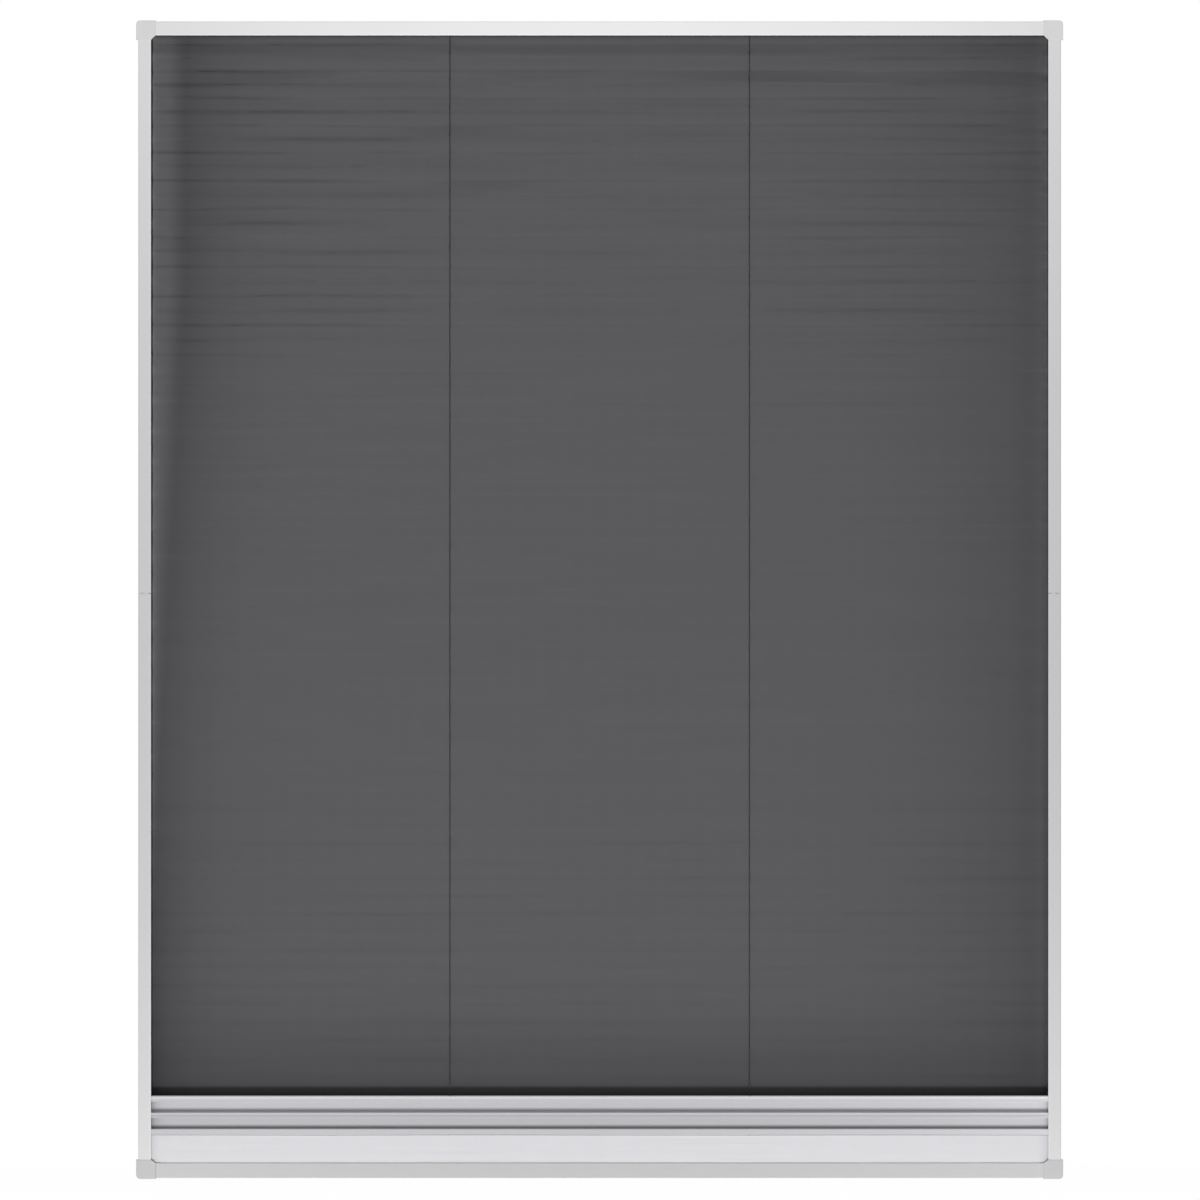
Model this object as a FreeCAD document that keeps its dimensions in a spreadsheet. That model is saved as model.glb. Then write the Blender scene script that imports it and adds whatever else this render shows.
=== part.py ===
import FreeCAD, Part
import math
import os
import re
import Sketcher

from FreeCAD import Placement, Rotation, Vector

# A pleated insect screen for a window, with a white shade folded away under its pull bar.
# Millimetres. +Z is up, the front faces -Y, and the origin is the middle of the frame's foot.

# Each row is a size's name, its value and what it measures.
SIZES = [
    ("frame_width", 800, "over the corner pieces, left to right"),
    ("frame_height", 1000, "over the corner pieces, bottom to top"),
    ("rail_depth", 22, "front face to back face of a rail"),
    ("side_rail_face", 11, "width of a side rail seen from the front"),
    ("top_rail_face", 12, "height of the top rail seen from the front"),
    ("bottom_rail_face", 13.1, "height of the bottom rail seen from the front"),
    ("rail_wall", 1.2, "front, back and outer wall of a rail"),
    ("inner_web", 1, "wall between a rail's hollow and its channel"),
    ("hollow_height", 3.6, "hollow that takes the spigots and joiners"),
    ("lip_height", 1.6, "bead along each edge of a channel's mouth"),
    ("lip_thickness", 0.5, "how far the bead stands into the mouth"),
    ("rail_chamfer", 0.4, "long edges of a rail"),
    ("split_height", 505.6, "joint between the two lengths of a side rail"),
    ("split_gap", 0.2, "gap left at that joint"),
    ("joiner_length", 100, "insert that holds the two lengths in line"),
    ("corner_size", 16.7, "width and height of a corner piece"),
    ("corner_side_proud", 1.8, "corner piece beyond the side rail"),
    ("corner_end_proud", 0.9, "corner piece beyond the top or bottom rail"),
    ("corner_face_proud", 0.4, "corner piece in front of and behind the rails"),
    ("corner_round", 3.5, "outer corner seen from the front"),
    ("corner_chamfer", 0.35, "edges of the corner piece's faces"),
    ("spigot_length", 20, "spigot of a corner piece in a rail's hollow"),
    ("insert_clearance", 0.1, "play of spigots and joiners in the hollow"),
    ("insert_taper", 0.8, "lead-in on the end of a spigot or joiner"),
    ("fixing_inset", 150, "fixing hole from the frame's top or bottom"),
    ("fixing_radius", 2.1, "screw hole in a side rail's outer wall"),
    ("driver_radius", 4.5, "hole in the web that the screw head passes"),
    ("bar_height", 33, "pull bar, bottom to top"),
    ("bar_wall", 1.2, "wall of the pull bar's extrusion"),
    ("bar_clearance", 0.6, "pull bar to each bead of the side channels"),
    ("bar_top_ridge", 4.4, "height of the ridge along the top"),
    ("bar_middle_ridge", 4.6, "height of the ridge along the middle"),
    ("bar_bottom_ridge", 5, "height of the ridge along the bottom"),
    ("grip_depth", 3, "depth of the two finger grooves"),
    ("bar_chamfer", 0.35, "long edges of the ridges"),
    ("slot_mouth", 10.8, "width of the clip slot's mouth"),
    ("slot_width", 14.8, "width of the clip slot inside"),
    ("slot_lip", 1, "thickness of the slot's lips"),
    ("slot_height", 2, "height of the slot behind its lips"),
    ("clip_base", 1.8, "thickness of a clip strip's base"),
    ("clip_play", 0.1, "play of a clip strip at each side"),
    ("cap_thickness", 2.5, "plate of an end cap"),
    ("cap_end_gap", 0.5, "end cap to the floor of the side channel"),
    ("cap_side_gap", 0.3, "end cap to each wall of the side channel"),
    ("cap_round", 1, "radius of an end cap's upright edges"),
    ("cap_tongue", 10, "tongue of an end cap in the pull bar"),
    ("cap_play", 0.1, "play of that tongue"),
    ("strip_thickness", 2, "holder strips in the top and bottom rails"),
    ("strip_gap", 0.3, "holder strip to each wall of its channel"),
    ("strip_chamfer", 0.6, "edges of a holder strip"),
    ("cord_radius", 0.45, "guide cord"),
    ("cord_spacing", 258.6, "between the two guide cords"),
    ("cord_hole_radius", 1.2, "cord hole in the strips and the rails' webs"),
    ("eyelet_bore_radius", 1, "bore of an eyelet in the pull bar"),
    ("eyelet_wall", 0.8, "wall of an eyelet"),
    ("eyelet_play", 0.05, "play of an eyelet in its hole"),
    ("eyelet_tail", 0.8, "eyelet beyond the wall that it goes through"),
    ("plug_radius", 2, "plug that holds a cord's end"),
    ("plug_height", 3, "thickness of that plug"),
    ("fabric_side_gap", 2.4, "mesh and shade to the floors of the side channels"),
    ("fabric_end_gap", 0.2, "mesh and shade to the strips that hold them"),
    ("pleat_fold", 17, "cut depth of one pleat of the mesh, crease to crease"),
    ("pleat_hole", 1.2, "square cord hole punched in each pleat"),
    ("mesh_thickness", 0.3, "insect mesh"),
    ("mesh_spread", 0.17, "how much closer than average the top pleats hang"),
    ("mesh_stretch", 0.95, "flattest pleat's height as a share of its fold"),
    ("shade_clearance", 0.3, "folded shade to each bead of the side channels"),
    ("shade_thickness", 0.25, "shade fabric"),
    ("shade_pitch", 0.49, "height of one pleat in the folded stack"),
    ("shade_stack", 29.1, "height of the folded shade"),
]

doc = FreeCAD.newDocument("pleated_insect_screen")
sheet = doc.addObject("Spreadsheet::Sheet", "Sizes")
for row, (name, size, meaning) in enumerate(SIZES, 1):
    sheet.set(f"A{row}", name)
    sheet.set(f"B{row}", str(size))
    sheet.setAlias(f"B{row}", name)
    sheet.set(f"C{row}", meaning)
doc.recompute()

# Places worked out from the sizes. Each is an expression in their names.
WEB = "(rail_wall + hollow_height + inner_web)"
HOLLOW_TOP = "(rail_wall + hollow_height)"
CHANNEL = "(rail_depth - 2 * rail_wall)"
MOUTH = f"({CHANNEL} - 2 * lip_thickness)"
SIDE_OUT = "(frame_width / 2 - corner_side_proud)"
SIDE_FLOOR = f"({SIDE_OUT} - {WEB})"
TOP_OUT = "(frame_height - corner_end_proud)"
TOP_FLOOR = f"({TOP_OUT} - {WEB})"
BOTTOM_FLOOR = f"(corner_end_proud + {WEB})"
FABRIC_HALF = f"({SIDE_FLOOR} - fabric_side_gap)"
SHADE_FOOT = f"({BOTTOM_FLOOR} + strip_thickness + fabric_end_gap)"
BAR_FOOT = f"({SHADE_FOOT} + shade_stack + fabric_end_gap)"
BAR_TOP = f"({BAR_FOOT} + bar_height)"
BAR_DEPTH = f"({MOUTH} - 2 * bar_clearance)"
SHADE_FOLD = f"({MOUTH} - 2 * shade_clearance)"
BAR_HALF = f"({SIDE_FLOOR} - cap_end_gap - cap_thickness)"
SLOT_DEPTH = "(slot_lip + slot_height)"
INSERT_DEPTH = f"({CHANNEL} - 2 * insert_clearance)"

SIDES = [("left", -1), ("right", 1)]
pieces = []


def bind(text):
    """The same expression with each size's name pointing into the sheet."""
    return re.sub(r"[a-z][a-z_]+", lambda word: "Sizes." + word.group(), str(text))


def number(text):
    """What an expression in the sizes' names comes to."""
    return float(sheet.evalExpression(bind(text)))


def new_body(label):
    body = doc.addObject("PartDesign::Body", label)
    body.Label = label
    pieces.append(body)
    return body


def origin_plane(body, role):
    return next(item for item in body.Origin.OriginFeatures if item.Role == role)


def tie(sketch, kind, geometry, point, text):
    """Fixes one coordinate of a sketch's point to an expression."""
    place = sketch.addConstraint(Sketcher.Constraint(kind, geometry, point, number(text)))
    sketch.setExpression(f"Constraints[{place}]", bind(text))


def new_sketch(body, role, offset="0"):
    """An empty sketch on one of the body's own planes, moved along the plane's normal."""
    sketch = body.newObject("Sketcher::SketchObject", "sketch")
    sketch.AttachmentSupport = [(origin_plane(body, role), "")]
    sketch.MapMode = "FlatFace"
    sketch.AttachmentOffset = Placement(Vector(0, 0, number(offset)), Rotation())
    sketch.setExpression("AttachmentOffset.Base.z", bind(offset))
    return sketch


def draw_loop(sketch, points):
    """A closed outline of straight lines through points given as two expressions each."""
    places = [Vector(number(across), number(up), 0) for across, up in points]
    first = sketch.GeometryCount
    count = len(points)
    for i in range(count):
        sketch.addGeometry(Part.LineSegment(places[i], places[(i + 1) % count]), False)
    for i in range(count):
        sketch.addConstraint(
            Sketcher.Constraint("Coincident", first + i, 2, first + (i + 1) % count, 1)
        )
    for i, (across, up) in enumerate(points):
        tie(sketch, "DistanceX", first + i, 1, across)
        tie(sketch, "DistanceY", first + i, 1, up)


def draw_circle(sketch, across, up, radius):
    centre = Vector(number(across), number(up), 0)
    circle = Part.Circle(centre, Vector(0, 0, 1), number(radius))
    place = sketch.addGeometry(circle, False)
    tie(sketch, "DistanceX", place, 3, across)
    tie(sketch, "DistanceY", place, 3, up)
    size = sketch.addConstraint(Sketcher.Constraint("Radius", place, number(radius)))
    sketch.setExpression(f"Constraints[{size}]", bind(radius))


def pad_both_ways(body, sketch, length):
    pad = body.newObject("PartDesign::Pad", "pad")
    pad.Profile = sketch
    pad.SideType = "Symmetric"
    pad.setExpression("Length", bind(length))
    doc.recompute()
    return pad


def pad_up(body, sketch, length):
    pad = body.newObject("PartDesign::Pad", "pad")
    pad.Profile = sketch
    pad.setExpression("Length", bind(length))
    doc.recompute()
    return pad


def cut_both_ways(body, sketch, length):
    """A pocket to both sides of its sketch, which has to take something away."""
    before = body.Shape.Volume
    pocket = body.newObject("PartDesign::Pocket", "pocket")
    pocket.Profile = sketch
    pocket.SideType = "Symmetric"
    pocket.setExpression("Length", bind(length))
    doc.recompute()
    if not body.Shape.Volume < before:
        raise RuntimeError(f"a pocket of {body.Label} cuts nothing")
    return pocket


def finish_edges(body, kind, base, chosen, size):
    """A fillet or chamfer on the edges that a test on each edge picks."""
    names = [f"Edge{i}" for i, edge in enumerate(base.Shape.Edges, 1) if chosen(edge)]
    if not names:
        raise RuntimeError(f"{body.Label} has no edge for a {kind}")
    feature = body.newObject(f"PartDesign::{kind}", kind.lower())
    feature.Base = (base, names)
    feature.setExpression("Radius" if kind == "Fillet" else "Size", bind(size))
    doc.recompute()
    return feature


def runs_through(spots, along):
    """A test for straight edges along an axis whose other two coordinates are one of the spots."""
    others = [axis for axis in "xyz" if axis != along]

    def chosen(edge):
        box = edge.BoundBox
        sides = {"x": box.XLength, "y": box.YLength, "z": box.ZLength}
        if any(sides[axis] > 1e-6 for axis in others):
            return False
        middle = edge.CenterOfMass
        place = [getattr(middle, axis) for axis in others]
        return any(math.dist(place, spot) < 1e-4 for spot in spots)

    return chosen


# Rails

def rail_outline(face):
    """A rail's section: inward from its outer wall, and front to back."""
    front = "rail_depth / 2"
    inside = f"{CHANNEL} / 2"
    mouth = f"{MOUTH} / 2"
    bead = f"({face} - lip_height)"
    slope = f"({face} - lip_height - lip_thickness)"
    half = [(face, front), (face, mouth), (bead, mouth), (slope, inside), (WEB, inside)]
    near = [(inward, f"-{depth}") for inward, depth in half]
    outer = [("0", f"-{front}"), *near, *reversed(half), ("0", front)]
    hollow = [
        ("rail_wall", f"-{inside}"),
        (HOLLOW_TOP, f"-{inside}"),
        (HOLLOW_TOP, inside),
        ("rail_wall", inside),
    ]
    return outer, hollow


def make_side_rail(label, side, foot, head, fixing):
    """One length of a side rail, from foot to head, with its fixing hole at a height."""
    body = new_body(label)
    sketch = new_sketch(body, "XY_Plane", foot)
    for loop in rail_outline("side_rail_face"):
        draw_loop(sketch, [(f"{side} * ({SIDE_OUT} - {inward})", depth) for inward, depth in loop])
    pad = pad_up(body, sketch, f"({head}) - ({foot})")
    outer = side * number(SIDE_OUT)
    inner = side * number(f"{SIDE_OUT} - side_rail_face")
    depth = number("rail_depth / 2")
    corners = [(x, y) for x in (outer, inner) for y in (-depth, depth)]
    finish_edges(body, "Chamfer", pad, runs_through(corners, "z"), "rail_chamfer")
    screw = new_sketch(body, "YZ_Plane", f"{side} * {SIDE_OUT}")
    draw_circle(screw, "0", fixing, "fixing_radius")
    cut_both_ways(body, screw, "2 * rail_wall + hollow_height")
    access = new_sketch(body, "YZ_Plane", f"{side} * {SIDE_FLOOR}")
    draw_circle(access, "0", fixing, "driver_radius")
    cut_both_ways(body, access, "2 * inner_web + hollow_height")


def make_end_rail(label, face, from_outside, floor):
    """The top or bottom rail, whose height is given by a rule from the depth under its outer wall."""
    body = new_body(label)
    sketch = new_sketch(body, "YZ_Plane")
    for loop in rail_outline(face):
        draw_loop(sketch, [(depth, from_outside(inward)) for inward, depth in loop])
    pad = pad_both_ways(body, sketch, "frame_width - 2 * corner_size")
    depth = number("rail_depth / 2")
    heights = [number(from_outside("0")), number(from_outside(face))]
    corners = [(y, z) for y in (-depth, depth) for z in heights]
    finish_edges(body, "Chamfer", pad, runs_through(corners, "x"), "rail_chamfer")
    holes = new_sketch(body, "XY_Plane", floor)
    for _, side in SIDES:
        draw_circle(holes, f"{side} * cord_spacing / 2", "0", "cord_hole_radius")
    cut_both_ways(body, holes, "2 * inner_web + hollow_height")


for name, side in SIDES:
    make_side_rail(
        f"{name}_rail_lower",
        side,
        "corner_size",
        "split_height - split_gap / 2",
        "fixing_inset",
    )
    make_side_rail(
        f"{name}_rail_upper",
        side,
        "split_height + split_gap / 2",
        "frame_height - corner_size",
        "frame_height - fixing_inset",
    )
make_end_rail(
    "bottom_rail",
    "bottom_rail_face",
    lambda inward: f"corner_end_proud + {inward}",
    BOTTOM_FLOOR,
)
make_end_rail("top_rail", "top_rail_face", lambda inward: f"{TOP_OUT} - {inward}", TOP_FLOOR)


# Corner pieces and joiners

def spigot_outline(low, high, root, tip):
    """A tongue between low and high that runs from root to a tapered tip."""
    return [
        (low, root),
        (high, root),
        (high, f"{tip} - insert_taper"),
        (f"{high} - insert_taper", tip),
        (f"{low} + insert_taper", tip),
        (low, f"{tip} - insert_taper"),
    ]


def make_corner(label, side, top):
    """A moulded corner: two cheeks joined outside by an angle, with a spigot into each rail."""
    face = "top_rail_face" if top else "bottom_rail_face"

    def place(points):
        """Points measured inwards from the frame's own corner, as they lie in the frame."""
        height = "frame_height - ({})" if top else "{}"
        return [(f"{side} * (frame_width / 2 - ({a}))", height.format(b)) for a, b in points]

    body = new_body(label)
    outline = new_sketch(body, "XZ_Plane")
    draw_loop(
        outline,
        place(
            [
                ("0", "0"),
                ("corner_size", "0"),
                ("corner_size", f"corner_end_proud + {face}"),
                ("corner_side_proud + side_rail_face", "corner_size"),
                ("0", "corner_size"),
            ]
        ),
    )
    block = pad_both_ways(body, outline, "rail_depth + 2 * corner_face_proud")
    corner = (side * number("frame_width / 2"), number("frame_height") if top else 0)
    rounded = finish_edges(body, "Fillet", block, runs_through([corner], "y"), "corner_round")
    cheek = number("rail_depth / 2 + corner_face_proud")

    def on_a_face(edge):
        box = edge.BoundBox
        return box.YLength < 1e-6 and abs(abs(box.YMin) - cheek) < 1e-4

    finish_edges(body, "Chamfer", rounded, on_a_face, "corner_chamfer")

    inside = new_sketch(body, "XZ_Plane")
    across = f"corner_side_proud + {WEB}"
    up = f"corner_end_proud + {WEB}"
    beyond = "corner_size + rail_wall"
    draw_loop(inside, place([(across, up), (beyond, up), (beyond, beyond), (across, beyond)]))
    cut_both_ways(body, inside, CHANNEL)

    tip = "corner_size + spigot_length"
    spigots = new_sketch(body, "XZ_Plane")
    low = "corner_side_proud + rail_wall + insert_clearance"
    high = f"corner_side_proud + {HOLLOW_TOP} - insert_clearance"
    draw_loop(spigots, place(spigot_outline(low, high, up, tip)))
    pad_both_ways(body, spigots, INSERT_DEPTH)
    spigots = new_sketch(body, "XZ_Plane")
    low = "corner_end_proud + rail_wall + insert_clearance"
    high = f"corner_end_proud + {HOLLOW_TOP} - insert_clearance"
    draw_loop(spigots, place([(a, b) for b, a in spigot_outline(low, high, across, tip)]))
    pad_both_ways(body, spigots, INSERT_DEPTH)


def make_joiner(label, side):
    """A flat insert with tapered ends, half of it in each length of a side rail."""
    body = new_body(label)
    sketch = new_sketch(body, "XZ_Plane")
    low = f"{side} * ({SIDE_OUT} - rail_wall - insert_clearance)"
    high = f"{side} * ({SIDE_OUT} - {HOLLOW_TOP} + insert_clearance)"
    taper = f"{side} * insert_taper"
    foot = "split_height - joiner_length / 2"
    head = "split_height + joiner_length / 2"
    draw_loop(
        sketch,
        [
            (f"{low} - {taper}", foot),
            (f"{high} + {taper}", foot),
            (high, f"{foot} + insert_taper"),
            (high, f"{head} - insert_taper"),
            (f"{high} + {taper}", head),
            (f"{low} - {taper}", head),
            (low, f"{head} - insert_taper"),
            (low, f"{foot} + insert_taper"),
        ],
    )
    pad_both_ways(body, sketch, INSERT_DEPTH)


for name, side in SIDES:
    make_corner(f"corner_bottom_{name}", side, False)
    make_corner(f"corner_top_{name}", side, True)
    make_joiner(f"{name}_rail_joiner", side)


# Holder strips in the top and bottom rails

def make_holder(label, foot):
    """A flat strip against a rail's web, with chamfered edges and a hole for each cord."""
    body = new_body(label)
    sketch = new_sketch(body, "YZ_Plane")
    half = f"({CHANNEL} / 2 - strip_gap)"
    head = f"{foot} + strip_thickness"
    draw_loop(
        sketch,
        [
            (f"-({half} - strip_chamfer)", foot),
            (f"{half} - strip_chamfer", foot),
            (half, f"{foot} + strip_chamfer"),
            (half, f"{head} - strip_chamfer"),
            (f"{half} - strip_chamfer", head),
            (f"-({half} - strip_chamfer)", head),
            (f"-{half}", f"{head} - strip_chamfer"),
            (f"-{half}", f"{foot} + strip_chamfer"),
        ],
    )
    pad_both_ways(body, sketch, f"2 * {FABRIC_HALF}")
    holes = new_sketch(body, "XY_Plane", f"{foot} + strip_thickness / 2")
    for _, side in SIDES:
        draw_circle(holes, f"{side} * cord_spacing / 2", "0", "cord_hole_radius")
    cut_both_ways(body, holes, "2 * strip_thickness")


make_holder("mesh_holder_strip", f"({TOP_FLOOR} - strip_thickness)")
make_holder("shade_holder_strip", BOTTOM_FLOOR)


# Pull bar: a hollow extrusion with two finger grooves front and back, and a clip slot above and below

RIDGE_LOW = f"({BAR_FOOT} + bar_bottom_ridge)"
GROOVE = "((bar_height - bar_top_ridge - bar_middle_ridge - bar_bottom_ridge) / 2)"
MIDDLE_LOW = f"({RIDGE_LOW} + {GROOVE})"
MIDDLE_HIGH = f"({MIDDLE_LOW} + bar_middle_ridge)"
RIDGE_HIGH = f"({MIDDLE_HIGH} + {GROOVE})"
BAR_FRONT = f"({BAR_DEPTH} / 2)"
GROOVE_FLOOR = f"({BAR_FRONT} - grip_depth)"
CHAMBER_HALF = f"({GROOVE_FLOOR} - bar_wall)"
CHAMBER_LOW = f"({BAR_FOOT} + {SLOT_DEPTH} + bar_wall)"
CHAMBER_HIGH = f"({BAR_TOP} - {SLOT_DEPTH} - bar_wall)"


def both_halves(half):
    """A closed outline from its right half, given from the bottom up."""
    return half + [(f"-{across}", up) for across, up in reversed(half)]


def make_bar():
    body = new_body("pull_bar")
    sketch = new_sketch(body, "YZ_Plane")
    cavity = "(slot_width / 2)"
    mouth = "(slot_mouth / 2)"
    outer = [
        (cavity, f"{BAR_FOOT} + {SLOT_DEPTH}"),
        (cavity, f"{BAR_FOOT} + slot_lip"),
        (mouth, f"{BAR_FOOT} + slot_lip"),
        (mouth, BAR_FOOT),
        (BAR_FRONT, BAR_FOOT),
        (BAR_FRONT, RIDGE_LOW),
        (GROOVE_FLOOR, RIDGE_LOW),
        (GROOVE_FLOOR, MIDDLE_LOW),
        (BAR_FRONT, MIDDLE_LOW),
        (BAR_FRONT, MIDDLE_HIGH),
        (GROOVE_FLOOR, MIDDLE_HIGH),
        (GROOVE_FLOOR, RIDGE_HIGH),
        (BAR_FRONT, RIDGE_HIGH),
        (BAR_FRONT, BAR_TOP),
        (mouth, BAR_TOP),
        (mouth, f"{BAR_TOP} - slot_lip"),
        (cavity, f"{BAR_TOP} - slot_lip"),
        (cavity, f"{BAR_TOP} - {SLOT_DEPTH}"),
    ]
    ridge_inside = f"({BAR_FRONT} - bar_wall)"
    chamber = [
        (CHAMBER_HALF, CHAMBER_LOW),
        (CHAMBER_HALF, f"{MIDDLE_LOW} + bar_wall"),
        (ridge_inside, f"{MIDDLE_LOW} + bar_wall"),
        (ridge_inside, f"{MIDDLE_HIGH} - bar_wall"),
        (CHAMBER_HALF, f"{MIDDLE_HIGH} - bar_wall"),
        (CHAMBER_HALF, CHAMBER_HIGH),
    ]
    draw_loop(sketch, both_halves(outer))
    draw_loop(sketch, both_halves(chamber))
    pad = pad_both_ways(body, sketch, f"2 * {BAR_HALF}")
    front = number(BAR_FRONT)
    heights = [BAR_FOOT, RIDGE_LOW, MIDDLE_LOW, MIDDLE_HIGH, RIDGE_HIGH, BAR_TOP]
    ridges = [(y, number(height)) for y in (-front, front) for height in heights]
    finish_edges(body, "Chamfer", pad, runs_through(ridges, "x"), "bar_chamfer")
    holes = new_sketch(body, "XY_Plane", f"{BAR_FOOT} + bar_height / 2")
    for _, side in SIDES:
        draw_circle(
            holes,
            f"{side} * cord_spacing / 2",
            "0",
            "eyelet_bore_radius + eyelet_wall + eyelet_play",
        )
    cut_both_ways(body, holes, "2 * bar_height")


def make_clip(label, lip_face, outwards):
    """A strip that hooks behind the slot's lips and fills its mouth, with the fabric's last pleat on it."""
    body = new_body(label)
    sketch = new_sketch(body, "YZ_Plane")
    base = "(slot_width / 2 - clip_play)"
    stem = "(slot_mouth / 2 - clip_play)"
    under = f"{lip_face} - {outwards} * clip_base"
    flush = f"{lip_face} + {outwards} * slot_lip"
    half = [(base, under), (base, lip_face), (stem, lip_face), (stem, flush)]
    draw_loop(sketch, both_halves(half))
    pad_both_ways(body, sketch, f"2 * {BAR_HALF}")
    holes = new_sketch(body, "XY_Plane", lip_face)
    for _, side in SIDES:
        draw_circle(holes, f"{side} * cord_spacing / 2", "0", "cord_hole_radius")
    cut_both_ways(body, holes, "2 * (clip_base + slot_lip)")


def make_cap(label, side):
    """An end cap: a plate that runs behind the beads of the side channel, and a tongue into the bar."""
    body = new_body(label)
    depth = f"({CHANNEL} / 2 - cap_side_gap)"
    plate = new_sketch(body, "YZ_Plane", f"{side} * ({BAR_HALF} + cap_thickness / 2)")
    corners = [(depth, BAR_FOOT), (depth, BAR_TOP)]
    draw_loop(plate, both_halves(corners))
    pad = pad_both_ways(body, plate, "cap_thickness")
    outer = side * number(f"{BAR_HALF} + cap_thickness")
    edges = [(outer, y * number(depth)) for y in (-1, 1)]
    finish_edges(body, "Fillet", pad, runs_through(edges, "z"), "cap_round")
    tongue = new_sketch(
        body, "YZ_Plane", f"{side} * ({BAR_HALF} - cap_tongue / 2 + cap_thickness / 4)"
    )
    inside = f"({CHAMBER_HALF} - cap_play)"
    ends = [(inside, f"{CHAMBER_LOW} + cap_play"), (inside, f"{CHAMBER_HIGH} - cap_play")]
    draw_loop(tongue, both_halves(ends))
    pad_both_ways(body, tongue, "cap_tongue + cap_thickness / 2")


def make_eyelet(label, side, floor, outwards):
    """A bush pressed through the slot's floor, which lines the cord's way into the bar."""
    body = new_body(label)
    sketch = new_sketch(body, "XZ_Plane")
    wall = "(eyelet_bore_radius + eyelet_wall)"
    tail = f"{floor} - {outwards} * (bar_wall + eyelet_tail)"
    bore = "eyelet_bore_radius"
    draw_loop(sketch, [(bore, tail), (wall, tail), (wall, floor), (bore, floor)])
    turn = body.newObject("PartDesign::Revolution", "revolution")
    turn.Profile = sketch
    turn.ReferenceAxis = (sketch, ["V_Axis"])
    turn.Angle = 360
    body.setExpression("Placement.Base.x", bind(f"{side} * cord_spacing / 2"))
    doc.recompute()


make_bar()
make_clip("mesh_clip_strip", f"({BAR_TOP} - slot_lip)", 1)
make_clip("shade_clip_strip", f"({BAR_FOOT} + slot_lip)", -1)
for name, side in SIDES:
    make_cap(f"bar_end_cap_{name}", side)
    make_eyelet(f"eyelet_upper_{name}", side, f"({BAR_TOP} - {SLOT_DEPTH})", 1)
    make_eyelet(f"eyelet_lower_{name}", side, f"({BAR_FOOT} + {SLOT_DEPTH})", -1)


# Guide cords, and the plugs in the rails' hollows that hold their ends

def make_cylinder(label, side, radius, foot, height):
    cylinder = doc.addObject("Part::Cylinder", label)
    cylinder.Label = label
    cylinder.setExpression("Radius", bind(radius))
    cylinder.setExpression("Height", bind(height))
    cylinder.setExpression("Placement.Base.x", bind(f"{side} * cord_spacing / 2"))
    cylinder.setExpression("Placement.Base.z", bind(foot))
    pieces.append(cylinder)


# A plug lies on the hollow side of its rail's web, and the cord runs from one to the other.
CORD_FOOT = f"(corner_end_proud + {HOLLOW_TOP})"
CORD_HEAD = f"({TOP_OUT} - {HOLLOW_TOP})"
for name, side in SIDES:
    make_cylinder(
        f"cord_plug_bottom_{name}", side, "plug_radius", f"{CORD_FOOT} - plug_height", "plug_height"
    )
    make_cylinder(f"cord_plug_top_{name}", side, "plug_radius", CORD_HEAD, "plug_height")
    make_cylinder(f"cord_{name}", side, "cord_radius", CORD_FOOT, f"{CORD_HEAD} - {CORD_FOOT}")
doc.recompute()


# Pleated mesh and folded shade

def pierced_fabric(label, outline):
    """A sheet as wide as the mesh, from its outline seen from the side, with a hole for each cord."""
    half = number(FABRIC_HALF)
    corners = [Vector(-half, y, z) for y, z in outline]
    wire = Part.makePolygon(corners + corners[:1])
    cloth = Part.Face(wire).extrude(Vector(2 * half, 0, 0))
    hole = number("pleat_hole")
    low = cloth.BoundBox.ZMin
    height = cloth.BoundBox.ZLength
    punches = []
    for _, side in SIDES:
        corner = Vector(side * number("cord_spacing / 2") - hole / 2, -hole / 2, low)
        punches.append(Part.makeBox(hole, hole, height, corner))
    fabric = doc.addObject("Part::Feature", label)
    fabric.Label = label
    fabric.Shape = cloth.cut(Part.makeCompound(punches))
    pieces.append(fabric)


def mesh_pleats():
    """How many pleats the hanging mesh has, and its height: an odd number, and enough that its
    flattest is not stretched past its limit."""
    height = number(f"{TOP_FLOOR} - strip_thickness - 2 * fabric_end_gap - {BAR_TOP}")
    flattest = number("mesh_stretch * pleat_fold")
    pairs = math.ceil((height * (1 + number("mesh_spread")) / flattest - 1) / 2)
    return 2 * pairs + 1, height


def mesh_outline():
    """The hanging mesh from the side. Every pleat has the same cut depth. Their heights grow evenly
    from the top down, and the depth of each crease is what its height leaves of the fold. The
    lowest crease lies at the back and the highest at the front."""
    count, height = mesh_pleats()
    fold = number("pleat_fold")
    spread = number("mesh_spread")

    def pitch(i):
        return height / count * (1 + spread * (1 - 2 * i / (count - 1)))

    front = []
    back = []
    z = number(f"{BAR_TOP} + fabric_end_gap")
    for i in range(count + 1):
        near = pitch(min(max(i - 0.5, 0), count - 1))
        depth = math.sqrt(fold**2 - near**2) / 2
        y = -depth if i % 2 else depth
        skin = number("mesh_thickness") / 2 * fold / near
        front.append((y - skin, z))
        back.append((y + skin, z))
        z += pitch(i)
    return front + back[::-1]


def shade_layers():
    """How many pleats lie in the folded shade."""
    return 2 * max(1, round(number("shade_stack / shade_pitch") / 2))


def shade_outline():
    """The folded shade from the side: flat layers, joined in turn at the front and at the back."""
    layers = shade_layers()
    skin = number("shade_thickness")
    foot = number(SHADE_FOOT)
    pitch = (number("shade_stack") - skin) / (layers - 1)
    half = number(SHADE_FOLD) / 2
    back = [(half, foot)]
    front = [(-half, foot)]
    for i in range(layers - 1):
        low = foot + i * pitch + skin
        high = foot + (i + 1) * pitch
        if i % 2:
            back += [(half, low), (skin - half, low), (skin - half, high), (half, high)]
        else:
            front += [(-half, low), (half - skin, low), (half - skin, high), (-half, high)]
    top = foot + number("shade_stack")
    return back + [(half, top), (-half, top)] + front[::-1]


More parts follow.
